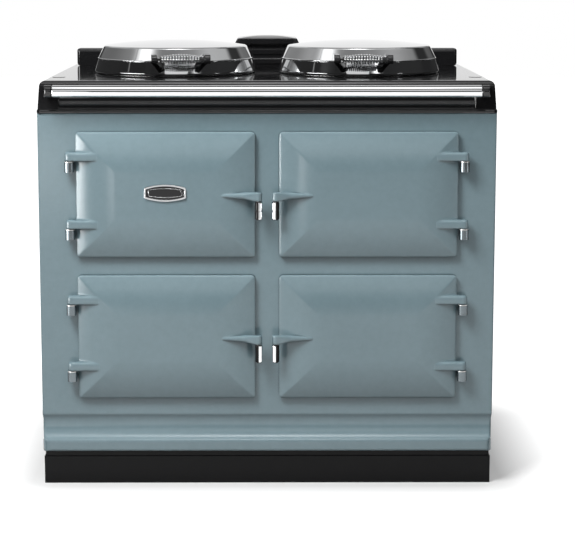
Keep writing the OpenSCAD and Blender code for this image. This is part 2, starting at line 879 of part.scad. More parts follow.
module hinge_pins() color(STEEL) {
  hinge_spots() translate([axis_x, axis_y, 0]) {
    translate([0, 0, -collar_h - knuckle_h]) cylinder(r = pin_r, h = knuckle_h + collar_h + lug_h - 4);
    translate([0, 0, -collar_h]) cylinder(r = knuckle_r - 0.5, h = collar_h);
  }
  for (s = [-1, 1]) translate([s * lid_x - arm_w / 2 - ear_t - 3, lid_ay, lid_az]) rotate([0, 90, 0])
    cylinder(r = lid_pin_r, h = arm_w + 2 * ear_t + 6);
}

// ---------- badge ----------

// a plate with bowed long sides and straight short ends, drawn inwards by an inset
module bowed_plate(inset = 0) {
  w = badge_w / 2 - inset;
  h = badge_h / 2 - inset;
  e = badge_end / 2 - inset;
  r = (w * w + (h - e) * (h - e)) / (2 * (h - e));
  a = asin((w - 1.5) / r);
  polygon(concat(
    arc(0, h - r, r, 90 - a, 90 + a, 20),
    [[-w, e - 1.5], [-w, 1.5 - e]],
    arc(0, r - h, r, 270 - a, 270 + a, 20),
    [[w, 1.5 - e], [w, e - 1.5]]
  ));
}

module badge_spot() {
  translate([-door_mid_x + badge_dx, door_back_y - door_t, row_z[1] + door_h / 2 + badge_dz]) rotate([90, 0, 0]) children();
}

module badge_rim() color(CHROME) badge_spot() difference() {
  linear_extrude(4) bowed_plate();
  translate([0, 0, 1]) linear_extrude(4) bowed_plate(badge_rim_w);
}

module badge_face() color(BLACK) badge_spot() translate([0, 0, 1]) linear_extrude(2)
  bowed_plate(badge_rim_w + 0.2);

// ---------- lids ----------

// outer drawing of a lid, radius against height above the top plate
shoulder_z = lid_h - 11;
shoulder_round = 8;
shoulder_in = 27; // from the lid's edge to the middle of its shoulder's arc
shoulder_to = 73; // angle at which the shoulder's arc runs straight on into the dome
bead_z = shoulder_z - 30; // height of the bead between the lid's two bands
bead_r = 1.6;

// the dome is one arc that touches the shoulder's arc
dome_k = lid_h - shoulder_z + shoulder_round;
dome_x = lid_r - shoulder_in;
dome_r = (dome_x * dome_x + dome_k * dome_k - shoulder_round * shoulder_round) / (2 * (dome_k - shoulder_round));

function lid_outline() = concat(
  [[0, lid_lift], [lid_r - 4, lid_lift]],
  arc(lid_r - 5, lid_lift + 5, 5, -60, 15, 5),
  [[lid_r - 7.6, bead_z - 1.8]],
  arc(lid_r - 8, bead_z, bead_r, -60, 80, 5),
  arc(dome_x, shoulder_z - shoulder_round, shoulder_round, 22, shoulder_to, 5),
  [[0, shoulder_z + dome_x / tan(shoulder_to)]]
);

module lid_solid() rotate_extrude($fn = 144) intersection() {
  polygon(lid_outline());
  translate([0, lid_h - dome_r]) circle(r = dome_r, $fn = 720);
}

module lid_hollow() rotate_extrude($fn = 144) polygon([
  [0, -over], [lid_r - 5.5, -over], [lid_r - 5.5, lid_lift + 8], [lid_r - 12.5, bead_z],
  [lid_r - 22.5, shoulder_z - 6], [lid_r - 25, shoulder_z - lid_wall - 1], [0, shoulder_z - lid_wall - 1]
]);

module at_lid(s) {
  translate([s * lid_x, lid_cy, hob_z]) children();
}

module lid(s) color(CHROME) at_lid(s) difference() {
  lid_solid();
  lid_hollow();
}

module left_lid() lid(-1);

module right_lid() lid(1);

module lid_liner(s) color(STEEL) at_lid(s) rotate_extrude($fn = 144) polygon([
  [0, 12], [lid_r - 40, 12], [lid_r - 20, 8], [lid_r - 6.2, 8], [lid_r - 6.2, 9.5], [lid_r - 19, 9.5], [lid_r - 40, 14], [0, 14]
]);

module left_lid_liner() lid_liner(-1);

module right_lid_liner() lid_liner(1);

module lid_arm(s) color(BLACK) difference() {
  translate([s * lid_x, 0, 0]) {
    translate([-arm_w / 2, lid_ay, lid_az]) rotate([0, 90, 0]) cylinder(r = arm_eye_r, h = arm_w);
    along_x(-arm_w / 2, arm_w / 2) polygon([
      [lid_cy + lid_r - 14, hob_z + 10], [lid_cy + lid_r - 4, hob_z + 8], [lid_ay, lid_az - arm_eye_r],
      [lid_ay, lid_az + arm_eye_r], [lid_cy + lid_r - 14, hob_z + 40]
    ]);
  }
  at_lid(s) lid_solid();
  translate([s * lid_x - arm_w, lid_ay, lid_az]) rotate([0, 90, 0]) cylinder(r = lid_pin_r + run_fit, h = 2 * arm_w);
}

module left_lid_arm() lid_arm(-1);

module right_lid_arm() lid_arm(1);

module lid_hinge_brackets() color(BLACK) for (s = [-1, 1]) translate([s * lid_x, 0, 0]) both_sides() difference() {
  x0 = arm_w / 2 + face_fit;
  along_x(x0, x0 + ear_t) {
    translate([lid_ay, lid_az]) circle(r = arm_eye_r);
    translate([lid_ay - arm_eye_r, hob_z]) square([2 * arm_eye_r, lid_az - hob_z]);
  }
  translate([x0 - over, lid_ay, lid_az]) rotate([0, 90, 0]) cylinder(r = lid_pin_r + run_fit, h = ear_t + 2 * over);
}

// ---------- lid handles ----------

module at_handle(s) {
  at_lid(s) rotate([0, 0, handle_turn[s > 0 ? 1 : 0]]) translate([0, -coil_reach, coil_z]) children();
}

module handle_posts(s) color(BLACK) difference() {
  at_handle(s) {
    rotate([0, 90, 0]) cylinder(r = coil_end_d / 2 - wire_d - 0.4, h = coil_l + 2, center = true);
    both_sides() {
      translate([coil_l / 2, 0, 0]) rotate([0, 90, 0]) cylinder(r = post_t / 2, h = post_w);
      block([coil_l / 2, 0, -post_t / 2], [coil_l / 2 + post_w, coil_reach - lid_r + 30, post_t / 2]);
    }
  }
  at_lid(s) lid_solid();
}

module left_handle_posts() handle_posts(-1);

module right_handle_posts() handle_posts(1);

// the coil is one wire: straight out of a post, round the barrel-shaped coil, and straight into the other post
curl_steps = 8;
wire_sides = 6;
lead = wire_d;
helix_l = coil_l - 4 * lead;
steps = coil_turns * curl_steps;
function coil_radius(u) = coil_end_d / 2 - wire_r + (coil_mid_d - coil_end_d) / 2 * sin(180 * u);
function helix_at(i) = let (u = i / steps, a = 360 * i / curl_steps, r = coil_radius(u))
  [-helix_l / 2 + helix_l * u, r * cos(a), r * sin(a)];
// each lead runs straight out of a post, then bends into the first curl: place along the axis and angle round it
lead_rows = [[-coil_l / 2, -100], [-coil_l / 2 + lead, -100], [-coil_l / 2 + lead * 1.45, -92], [-coil_l / 2 + lead * 1.75, -68], [-coil_l / 2 + lead * 1.92, -36]];
function lead_points() = [for (p = lead_rows) [p[0], coil_radius(0) * cos(p[1]), coil_radius(0) * sin(p[1])]];
coil_path = concat(
  lead_points(),
  [for (i = [0:steps]) helix_at(i)],
  [for (i = [len(lead_rows) - 1:-1:0]) let (p = lead_points()[i]) [-p[0], p[1], -p[2]]]
);
coil_n = len(coil_path);
function unit(v) = v / norm(v);
function tangent(i) = i == 0 || i == coil_n - 1 ? [1, 0, 0]
  : unit(coil_path[i + 1] - coil_path[i - 1]);
function ring(i) = let (p = coil_path[i], t = tangent(i), q = [0, p[1], p[2]], n = unit(q - t * (q * t)), b = cross(t, n))
  [for (k = [0:wire_sides - 1]) p + wire_r * (cos(360 * k / wire_sides) * n + sin(360 * k / wire_sides) * b)];
coil_points = [for (i = [0:coil_n - 1]) each ring(i)];
coil_faces = concat(
  [for (i = [0:coil_n - 2], k = [0:wire_sides - 1])
    let (a = i * wire_sides + k, b = i * wire_sides + (k + 1) % wire_sides, c = a + wire_sides, d = b + wire_sides)
    each [[a, c, b], [b, c, d]]],
  [for (k = [1:wire_sides - 2]) [0, k, k + 1]],
  [for (k = [1:wire_sides - 2]) let (o = (coil_n - 1) * wire_sides) [o, o + k + 1, o + k]]
);
// least gap between the wire and its own next curl, measured between the points of the two
coil_gap = min([for (i = [0:coil_n - curl_steps - 1], j = [i + curl_steps - 2:min(i + curl_steps + 2, coil_n - 1)])
  norm(coil_path[i] - coil_path[j]) - wire_d]);
echo(coil_gap = coil_gap);

module coil(s) color(CHROME) at_handle(s) polyhedron(coil_points, coil_faces, convexity = 10);

module left_handle_coil() coil(-1);

module right_handle_coil() coil(1);

// ---------- assembly ----------

plinth();
levelling_feet();
base_plate();
front_plate();
left_side_panel();
right_side_panel();
back_panel();
top_plate();
corner_caps();
left_hotplate();
right_hotplate();
hotplate_rings();
heating_elements();
rear_upstand();
vent_stack();
vent_cap();
hand_rail();
rail_brackets();
roasting_oven();
baking_oven();
simmering_oven();
oven_shelves();
control_box();
control_panel();
door_seals();
door_hinge_brackets();
hinge_pins();
lid_hinge_brackets();
control_door();
roasting_door();
simmering_door();
baking_door();
control_door_liner();
roasting_door_liner();
simmering_door_liner();
baking_door_liner();
control_door_grip();
roasting_door_grip();
simmering_door_grip();
baking_door_grip();
control_door_spindle();
roasting_door_spindle();
simmering_door_spindle();
baking_door_spindle();
badge_rim();
badge_face();
left_lid();
right_lid();
left_lid_liner();
right_lid_liner();
left_lid_arm();
right_lid_arm();
left_handle_posts();
right_handle_posts();
left_handle_coil();
right_handle_coil();
knob_1();
knob_2();
knob_3();
knob_4();
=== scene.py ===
"""Cast iron range cooker: finishes, fine pieces, floor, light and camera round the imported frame.

The cooker stands on the floor at z = 0 and faces -y. All sizes are in metres.
"""

import math

import bmesh
import bpy
from bpy.props import FloatProperty, FloatVectorProperty, IntProperty, PointerProperty
from bpy.types import Operator, Panel, PropertyGroup
from mathutils import Matrix, Vector


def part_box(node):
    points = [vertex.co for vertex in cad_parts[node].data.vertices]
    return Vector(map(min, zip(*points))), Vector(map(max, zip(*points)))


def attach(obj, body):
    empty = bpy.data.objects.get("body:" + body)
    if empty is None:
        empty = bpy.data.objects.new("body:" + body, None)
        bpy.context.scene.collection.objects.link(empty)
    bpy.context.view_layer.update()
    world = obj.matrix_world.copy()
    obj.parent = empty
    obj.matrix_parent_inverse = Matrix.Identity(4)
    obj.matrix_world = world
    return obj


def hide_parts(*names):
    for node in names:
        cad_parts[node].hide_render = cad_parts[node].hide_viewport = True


bl_info = {
    "name": "Range cooker",
    "version": (1, 0, 0),
    "blender": (4, 5, 0),
    "location": "View3D > Sidebar > Cooker",
    "description": "Finishes and details a cast iron range cooker",
    "category": "Object",
}

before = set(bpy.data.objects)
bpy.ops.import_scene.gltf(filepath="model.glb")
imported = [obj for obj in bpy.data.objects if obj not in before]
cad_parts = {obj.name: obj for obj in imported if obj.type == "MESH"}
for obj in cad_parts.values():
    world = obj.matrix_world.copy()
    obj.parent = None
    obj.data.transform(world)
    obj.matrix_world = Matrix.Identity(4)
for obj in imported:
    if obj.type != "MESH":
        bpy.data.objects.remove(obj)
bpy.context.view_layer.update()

RANGE = "range"
DOORS = ("control", "roasting", "simmering", "baking")
SIDES = {"left": -1, "right": 1}
KNOBS = ("knob_1", "knob_2", "knob_3", "knob_4")

LID_X = 0.212  # from the middle of the cooker to each lid's middle
LID_Y = 0.016
TOP_Z = 0.890  # upper face of the top plate

LATHE_REACH = 0.215  # how far from a lid's middle the turned rings go
LATHE_WAVE = 5200    # radians of the rings' wave to a metre


def from_screen(red, green, blue):
    """Turn a screen colour of 0 to 255 into the linear colour that a shader takes."""
    def linear(level):
        level = level / 255
        return level / 12.92 if level <= 0.04045 else ((level + 0.055) / 1.055) ** 2.4

    return linear(red), linear(green), linear(blue)


def scaled(colour, share):
    return tuple(level * share for level in colour)


# ---------------------------------------------------------------- settings


class EnamelSettings(PropertyGroup):
    """Vitreous enamel of the castings."""

    colour: FloatVectorProperty(
        name="Colour", description="Colour of the front, the sides and the doors",
        subtype="COLOR", size=3, min=0, max=1, default=from_screen(104, 125, 132))
    # paler colour of the enamel's random mottle; along edges and creases it is also the painted highlight
    pale_and_edge_highlight_colour: FloatVectorProperty(
        name="Thin colour", description="Colour where the enamel runs thin over an edge",
        subtype="COLOR", size=3, min=0, max=1, default=from_screen(128, 149, 156))
    edge: FloatProperty(
        name="Edge", description="Radius to which the enamel softens a casting's edges",
        unit="LENGTH", min=0, max=0.02, default=0.007)
    black: FloatVectorProperty(
        name="Black", description="Colour of the top plate and of the other black castings",
        subtype="COLOR", size=3, min=0, max=1, default=from_screen(22, 22, 23))


class MetalSettings(PropertyGroup):
    """Plated and bare metal."""

    chrome: FloatVectorProperty(
        name="Chrome", description="Colour of the polished chrome",
        subtype="COLOR", size=3, min=0, max=1, default=(0.66, 0.668, 0.675))
    steel: FloatVectorProperty(
        name="Steel", description="Colour of the bright steel",
        subtype="COLOR", size=3, min=0, max=1, default=(0.62, 0.62, 0.61))
    iron: FloatVectorProperty(
        name="Iron", description="Colour of the bare cast iron",
        subtype="COLOR", size=3, min=0, max=1, default=(0.09, 0.088, 0.085))


class CoilSettings(PropertyGroup):
    """The lids' coil handles, to the same sizes as their solids."""

    wire: FloatProperty(
        name="Wire", description="Thickness of the handle's wire", unit="LENGTH", default=0.0045)
    length: FloatProperty(
        name="Length", description="Length between the two posts", unit="LENGTH", default=0.104)
    middle: FloatProperty(
        name="Middle", description="Diameter over the wire at mid length", unit="LENGTH",
        default=0.023)
    end: FloatProperty(
        name="End", description="Diameter over the wire at the posts", unit="LENGTH", default=0.015)
    turns: IntProperty(
        name="Turns", description="Number of turns of the wire", min=4, max=20, default=14)


class StageSettings(PropertyGroup):
    """Floor, light and camera."""

    key_power: FloatProperty(
        name="Key light", description="Power of the soft light at the upper left, in watts",
        default=72)
    fill_power: FloatProperty(
        name="Front light", description="Power of the broad soft light in front, in watts",
        default=18)
    sky: FloatProperty(
        name="Room light", description="Level of the even light from all round", default=0.55)
    floor_colour: FloatVectorProperty(
        name="Floor", description="Colour of the floor",
        subtype="COLOR", size=3, min=0, max=1, default=(0.60, 0.60, 0.60))
    bounce: FloatProperty(
        name="Bounce", description="Share of its light that the floor throws back at the cooker",
        min=0, max=1, default=0.15)


class CookerSettings(PropertyGroup):
    """All that a user would change."""

    enamel: PointerProperty(type=EnamelSettings)
    metal: PointerProperty(type=MetalSettings)
    coil: PointerProperty(type=CoilSettings)
    stage: PointerProperty(type=StageSettings)


# ---------------------------------------------------------------- shader maths


class Value:
    """A shader socket that can stand in a Python expression."""

    def __init__(self, graph, socket):
        self.graph = graph
        self.socket = socket

    def maths(self, operation, *terms, clamp=False):
        settings = {"operation": operation, "use_clamp": clamp}
        return self.graph.node("ShaderNodeMath", settings, dict(enumerate(terms)))

    def __add__(self, other):
        return self.maths("ADD", self, other)

    __radd__ = __add__

    def __sub__(self, other):
        return self.maths("SUBTRACT", self, other)

    def __rsub__(self, other):
        return self.maths("SUBTRACT", other, self)

    def __mul__(self, other):
        return self.maths("MULTIPLY", self, other)

    def __truediv__(self, other):
        return self.maths("DIVIDE", self, other)

    def __pow__(self, other):
        return self.maths("POWER", self, other)

    def __rpow__(self, other):
        return self.maths("POWER", other, self)

    def clamped(self):
        return self.maths("ADD", self, 0.0, clamp=True)

    def above(self, level):
        return self.maths("GREATER_THAN", self, level)

    def at_least(self, level):
        return self.maths("MAXIMUM", self, level)

    def absolute(self):
        return self.maths("ABSOLUTE", self)

    def sine(self):
        return self.maths("SINE", self)


class Graph:
    """The nodes of a material or of the world, added call by call."""

    def __init__(self, owner):
        owner.use_nodes = True
        self.nodes = owner.node_tree.nodes
        self.links = owner.node_tree.links
        self.nodes.clear()

    def node(self, kind, settings=None, values=None, out=0):
        """Add a node: its settings first, then the values or links of its sockets."""
        made = self.nodes.new(kind)
        for name, value in (settings or {}).items():
            if name == "stops":
                self.set_stops(made.color_ramp, value)
            else:
                setattr(made, name, value)
        for name, value in (values or {}).items():
            socket = made.inputs[name]
            if isinstance(value, Value):
                self.links.new(value.socket, socket)
            else:
                socket.default_value = self.fitted(socket, value)
        return Value(self, made.outputs[out])

    @staticmethod
    def fitted(socket, value):
        """Give a colour its alpha."""
        if socket.type == "RGBA" and len(value) == 3:
            return (*value, 1.0)
        return value

    @staticmethod
    def set_stops(ramp, stops):
        ramp.interpolation = "EASE"
        while len(ramp.elements) < len(stops):
            ramp.elements.new(0.5)
        for element, (place, level) in zip(ramp.elements, stops):
            element.position = place
            element.color = (level, level, level, 1.0)

    def seen(self):
        """1 for what the camera or a mirror sees, 0 for light that is thrown about."""
        eye = self.node("ShaderNodeLightPath", out="Is Camera Ray")
        mirror = self.node("ShaderNodeLightPath", out="Is Glossy Ray")
        return (eye + mirror).clamped()

    def mixed_shaders(self, factor, first, second):
        return self.node("ShaderNodeMixShader", None, {0: factor, 1: first, 2: second})

    def end(self, kind, surface):
        """End the tree in an output node."""
        self.links.new(surface.socket, self.nodes.new(kind).inputs["Surface"])


class Finish(Graph):
    """One material."""

    def __init__(self, name):
        self.material = bpy.data.materials.new(name)
        super().__init__(self.material)

    def place(self):
        return self.node("ShaderNodeTexCoord", out="Object")

    def axis(self, letter):
        """The place along one axis."""
        return self.node("ShaderNodeSeparateXYZ", None, {0: self.place()}, out=letter)

    def noise(self, scale, detail, roughness, place=None):
        values = {"Vector": place or self.place(), "Scale": scale,
                  "Detail": detail, "Roughness": roughness}
        return self.node("ShaderNodeTexNoise", None, values, out="Fac")

    def ramp(self, factor, *stops):
        """Smooth steps between (place, level) stops."""
        return self.node("ShaderNodeValToRGB", {"stops": stops}, {"Fac": factor})

    def grey(self, level):
        values = {0: (1.0, 1.0, 1.0), "Scale": level}
        return self.node("ShaderNodeVectorMath", {"operation": "SCALE"}, values)

    def mixed(self, factor, first, second):
        """Mix two colours."""
        values = {0: factor, 6: first, 7: second}
        return self.node("ShaderNodeMix", {"data_type": "RGBA"}, values, out=2)

    def stretched(self, x, y, z):
        """The place, with each axis scaled."""
        values = {0: self.place(), 1: (x, y, z)}
        return self.node("ShaderNodeVectorMath", {"operation": "MULTIPLY"}, values)

    def crevice(self, reach):
        """1 in a narrow gap between castings, 0 on an open face."""
        values = {"Distance": reach}
        return 1 - self.node("ShaderNodeAmbientOcclusion", {"samples": 8}, values, out="AO")

    def bevel(self, radius):
        return self.node("ShaderNodeBevel", {"samples": 8}, {"Radius": radius})

    def bump(self, height, distance, strength, normal=None):
        values = {"Height": height, "Distance": distance, "Strength": strength}
        if normal:
            values["Normal"] = normal
        return self.node("ShaderNodeBump", None, values)

    def principled(self, values):
        return self.node("ShaderNodeBsdfPrincipled", None, values)

    def surfaced(self, surface):
        """Close the material with its surface."""
        self.end("ShaderNodeOutputMaterial", surface)
        return self.material

    def shader(self, values):
        """Close the material with one principled shader."""
        return self.surfaced(self.principled(values))


# ---------------------------------------------------------------- finishes


def edge_mask(finish, radius):
    """How much a point lies on a convex or concave edge, from 0 on a face."""
    soft = finish.bevel(radius)
    hard = finish.node("ShaderNodeNewGeometry", out="Normal")
    values = {0: soft, 1: hard}
    along = finish.node("ShaderNodeVectorMath", {"operation": "DOT_PRODUCT"}, values, out="Value")
    return ((1 - along) * 5).clamped()


def blue_enamel(settings):
    finish = Finish("blue_enamel")
    cloud = finish.noise(5.0, 3.0, 0.55)
    mottle = finish.noise(60.0, 4.0, 0.6)
    speck = finish.noise(1400.0, 1.0, 0.5)
    peel = finish.noise(150.0, 2.0, 0.5)
    fine = finish.noise(520.0, 2.0, 0.5)
    thin = ((cloud - 0.5) * 0.35 + (mottle - 0.5) * 0.30 + (speck - 0.5) * 0.22 + 0.28).clamped()
    body = finish.mixed(thin, scaled(settings.colour, 0.90), settings.pale_and_edge_highlight_colour)
    # painted highlight: the enamel is made paler along the castings' edges and creases, standing in for the
    # light that rounded edges catch
    edges = edge_mask(finish, settings.edge)
    body = finish.mixed(edges * 0.55, body, settings.pale_and_edge_highlight_colour)
    # painted shade: the enamel is darkened where narrow gaps between castings hold shade, such as under the
    # doors and round the lugs
    painted_crevice_shade = ((finish.crevice(0.007) - 0.28) * 3.0).clamped()
    colour = finish.mixed(painted_crevice_shade * 0.75, body, scaled(settings.colour, 0.22))
    height = peel * 0.7 + fine * 0.3
    normal = finish.bump(height, 0.00012, 0.35, finish.bevel(settings.edge))
    return finish.shader({
        "Base Color": colour,
        "Roughness": 0.19 + (mottle - 0.5) * 0.07 + (speck - 0.5) * 0.05,
        "Normal": normal,
        "IOR": 1.5,
    })


def black_enamel(settings):
    finish = Finish("black_enamel")
    peel = finish.noise(110.0, 2.0, 0.5)
    fine = finish.noise(460.0, 2.0, 0.5)
    dust = finish.noise(2600.0, 1.0, 0.5)
    dusty = tuple(level * 2.2 + 0.004 for level in settings.black)
    colour = finish.mixed(((dust - 0.55) * 3).clamped(), settings.black, dusty)
    normal = finish.bump(peel * 0.75 + fine * 0.25, 0.00006, 0.22, finish.bevel(0.003))
    return finish.shader({
        "Base Color": colour,
        "Roughness": 0.065 + (fine - 0.5) * 0.04,
        "Normal": normal,
        "IOR": 1.5,
    })


def plinth_paint():
    finish = Finish("plinth_paint")
    grain = finish.noise(900.0, 3.0, 0.6)
    wave = finish.noise(40.0, 2.0, 0.5)
    colour = finish.mixed(grain, from_screen(6, 6, 7), from_screen(14, 14, 15))
    return finish.shader({
        "Base Color": colour,
        "Roughness": 0.42 + (wave - 0.5) * 0.12,
        "Specular IOR Level": 0.15,
        "Normal": finish.bump(grain, 0.00008, 0.6, finish.bevel(0.0015)),
    })


def chrome(settings, name="chrome", black_beyond=None):
    """Polished chrome, black and rougher beyond a distance to the left and right of the middle."""
    finish = Finish(name)
    haze = finish.noise(35.0, 3.0, 0.6)
    wipe = finish.noise(400.0, 2.0, 0.5, finish.stretched(1.0, 0.05, 1.0))
    colour = finish.mixed(haze, settings.chrome, scaled(settings.chrome, 0.93))
    metal = 1.0
    roughness = (0.045 + (haze - 0.5) * 0.04 + (wipe - 0.5) * 0.03).clamped()
    if black_beyond:
        # beyond this distance from the middle the grip turns black and rougher
        black_side = ((finish.axis("X").absolute() - black_beyond) / 0.0008).clamped()
        metal = 1 - black_side
        colour = finish.mixed(black_side, colour, from_screen(14, 14, 15))
        roughness = roughness + black_side * 0.12
    ripple = finish.noise(18.0, 2.0, 0.5)
    return finish.shader({
        "Base Color": colour,
        "Metallic": metal,
        "Specular IOR Level": 0.1,
        "Roughness": roughness,
        "Normal": finish.bump(ripple, 0.00025, 0.25, finish.bevel(0.0008)),
    })


def turned_metal(name, colour):
    """Steel or iron with the fine rings that a lathe leaves, round each lid's middle."""
    finish = Finish(name)
    rings = None
    for side in SIDES.values():
        beside = finish.axis("X") - side * LID_X
        behind = finish.axis("Y") - LID_Y
        reach = (beside * beside + behind * behind) ** 0.5
        ring = (reach * LATHE_WAVE).sine() * (1 - reach.above(LATHE_REACH))
        rings = ring if rings is None else rings + ring
    grain = finish.noise(700.0, 2.0, 0.5)
    stain = finish.noise(22.0, 4.0, 0.6)
    height = rings * 0.5 + grain * 0.5
    colour = finish.mixed(((stain - 0.42) * 2.2).clamped(), colour, scaled(colour, 0.62))
    return finish.shader({
        "Base Color": colour,
        "Metallic": 1.0,
        "Roughness": (0.26 + rings * 0.04 + (stain - 0.5) * 0.18).clamped(),
        "Normal": finish.bump(height, 0.00005, 0.55, finish.bevel(0.001)),
    })


def brushed_steel(name, colour, roughness, stretch):
    """Steel sheet or rod with fine lines along the axis that is scaled least."""
    finish = Finish(name)
    lines = finish.noise(600.0, 3.0, 0.6, finish.stretched(*stretch))
    stain = finish.noise(30.0, 3.0, 0.6)
    return finish.shader({
        "Base Color": finish.mixed(((stain - 0.4) * 1.6).clamped(), colour, scaled(colour, 0.7)),
        "Metallic": 1.0,
        "Roughness": (roughness + (lines - 0.5) * 0.16 + (stain - 0.5) * 0.12).clamped(),
        "Normal": finish.bump(lines, 0.00004, 0.5, finish.bevel(0.0008)),
    })


def oven_iron(settings):
    finish = Finish("oven_iron")
    cast = finish.noise(420.0, 4.0, 0.65)
    scale = finish.noise(26.0, 4.0, 0.6)
    colour = finish.mixed(scale, settings.iron, scaled(settings.iron, 0.45))
    return finish.shader({
        "Base Color": colour,
        "Metallic": 0.25,
        "Roughness": 0.62 + (cast - 0.5) * 0.2,
        "Normal": finish.bump(cast, 0.0004, 0.7, finish.bevel(0.003)),
    })


def seal_rope():
    finish = Finish("seal_rope")
    fibre = finish.noise(1800.0, 3.0, 0.7)
    soot = finish.noise(30.0, 3.0, 0.6)
    pale = fibre * 0.6 + soot * 0.4
    colour = finish.mixed(pale, from_screen(46, 46, 45), from_screen(104, 102, 97))
    return finish.shader({
        "Base Color": colour,
        "Roughness": 0.85 + (fibre - 0.5) * 0.1,
        "Normal": finish.bump(fibre, 0.0003, 0.8),
    })


def moulded_black():
    finish = Finish("moulded_black")
    grain = finish.noise(1500.0, 2.0, 0.5)
    wear = finish.noise(70.0, 3.0, 0.6)
    return finish.shader({
        "Base Color": finish.mixed(wear, from_screen(26, 26, 27), from_screen(38, 38, 39)),
        "Roughness": 0.38 + (grain - 0.5) * 0.15,
        "Normal": finish.bump(grain, 0.00006, 0.5, finish.bevel(0.0012)),
    })


def badge_black():
    finish = Finish("badge_black")
    fine = finish.noise(900.0, 2.0, 0.5)
    return finish.shader({
        "Base Color": finish.mixed(fine, from_screen(12, 12, 13), from_screen(24, 24, 26)),
        "Roughness": 0.10 + (fine - 0.5) * 0.05,
        "Normal": finish.bump(fine, 0.00003, 0.4, finish.bevel(0.001)),
    })


def white_mark():
    finish = Finish("white_mark")
    ink = finish.noise(1600.0, 2.0, 0.6)
    return finish.shader({
        "Base Color": finish.mixed(ink, from_screen(196, 196, 190), from_screen(224, 224, 219)),
        "Roughness": 0.5 + (ink - 0.5) * 0.2,
        "Normal": finish.bump(ink, 0.00003, 0.4),
    })


def lens_amber():
    finish = Finish("lens_amber")
    cloud = finish.noise(300.0, 2.0, 0.5)
    return finish.shader({
        "Base Color": finish.mixed(cloud, from_screen(176, 92, 20), from_screen(206, 122, 34)),
        "Roughness": 0.12 + (cloud - 0.5) * 0.05,
        "Normal": finish.bump(cloud, 0.00005, 0.3),
    })


# the finishes by name; the first operator fills it
FINISHES = {}


def dress(finish, *nodes):
    """Give CAD nodes a finish in place of their plain slot."""
    for name in nodes:
        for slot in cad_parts[name].material_slots:
            slot.material = FINISHES[finish]


# ---------------------------------------------------------------- mesh making


def new_piece(name, body, slot, vertices, faces, finish=None, smooth=True):
    """Make a mesh object that rides on a body. Its finish is its slot's, unless another is named."""
    mesh = bpy.data.meshes.new(name)
    mesh.from_pydata([tuple(v) for v in vertices], [], faces)
    mesh.validate()
    shape = bmesh.new()
    shape.from_mesh(mesh)
    bmesh.ops.recalc_face_normals(shape, faces=shape.faces)
    shape.to_mesh(mesh)
    shape.free()
    for face in mesh.polygons:
        face.use_smooth = smooth
    piece = bpy.data.objects.new(name, mesh)
    bpy.context.scene.collection.objects.link(piece)
    mesh.materials.append(FINISHES[finish or slot])
    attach(piece, body)
    return piece


def around(count):
    """Equal steps round a circle."""
    return [2 * math.pi * k / count for k in range(count)]


def bands(rings, sides, closed=False):
    """Faces between rings of vertices: a closed loop of them, or a run with a cap on each end."""
    total = rings * sides
    faces = []
    for i in range(rings if closed else rings - 1):
        for k in range(sides):
            a, b = i * sides + k, i * sides + (k + 1) % sides
            faces.append((a, b, (b + sides) % total, (a + sides) % total))
    if not closed:
        faces.append(tuple(reversed(range(sides))))
        faces.append(tuple(total - sides + k for k in range(sides)))
    return faces


def turned(rings, sides, place):
    """Vertices and faces of a turned shape from (radius, height) pairs, closed at both ends."""
    vertices = []
    for radius, height in rings:
        for angle in around(sides):
            vertices.append(place @ Vector((radius * math.cos(angle), radius * math.sin(angle), height)))
    return vertices, bands(len(rings), sides)


def tube(path, radius, sides, closed=False):
    """Sweep a round section along points, without twist."""
    vertices = []
    side = None
    for i, point in enumerate(path):
        before = path[i - 1] if closed or i else point
        after = path[(i + 1) % len(path)] if closed or i < len(path) - 1 else point
        along = (after - before).normalized()
        if side is None:
            side = along.orthogonal().normalized()
        side = (side - along * side.dot(along)).normalized()
        other = along.cross(side)
        for angle in around(sides):
            vertices.append(point + radius * (math.cos(angle) * side + math.sin(angle) * other))
    return vertices, bands(len(path), sides, closed)


def joined(parts):
    """Join several (vertices, faces) into one."""
    vertices, faces = [], []
    for some, these in parts:
        start = len(vertices)
        vertices += some
        faces += [tuple(start + i for i in face) for face in these]
    return vertices, faces


def facing(place, direction):
    """A matrix that puts +z along a direction at a place."""
    turn = Vector((0, 0, 1)).rotation_difference(Vector(direction)).to_matrix().to_4x4()
    return Matrix.Translation(Vector(place)) @ turn


def inner_corners(low, high, inset):
    """The x and z of four places inside a panel's corners."""
    return [(x, z) for x in (low.x + inset, high.x - inset) for z in (low.z + inset, high.z - inset)]


# a pan head with a round recess, as shares of its radius: how far out and how high
SCREW_HEAD = ((1, 0), (1, 0.35), (0.94, 0.52), (0.7, 0.62), (0.552, 0.63), (0.48, 0.58), (0.48, 0.2))


def screws(name, body, spots, direction, radius):
    """Put a screw head at each spot."""
    rings = [(radius * out, radius * up) for out, up in SCREW_HEAD]
    heads = [turned(rings, 24, facing(spot, direction)) for spot in spots]
    new_piece(name, body, "plated_steel", *joined(heads))


# ---------------------------------------------------------------- operators


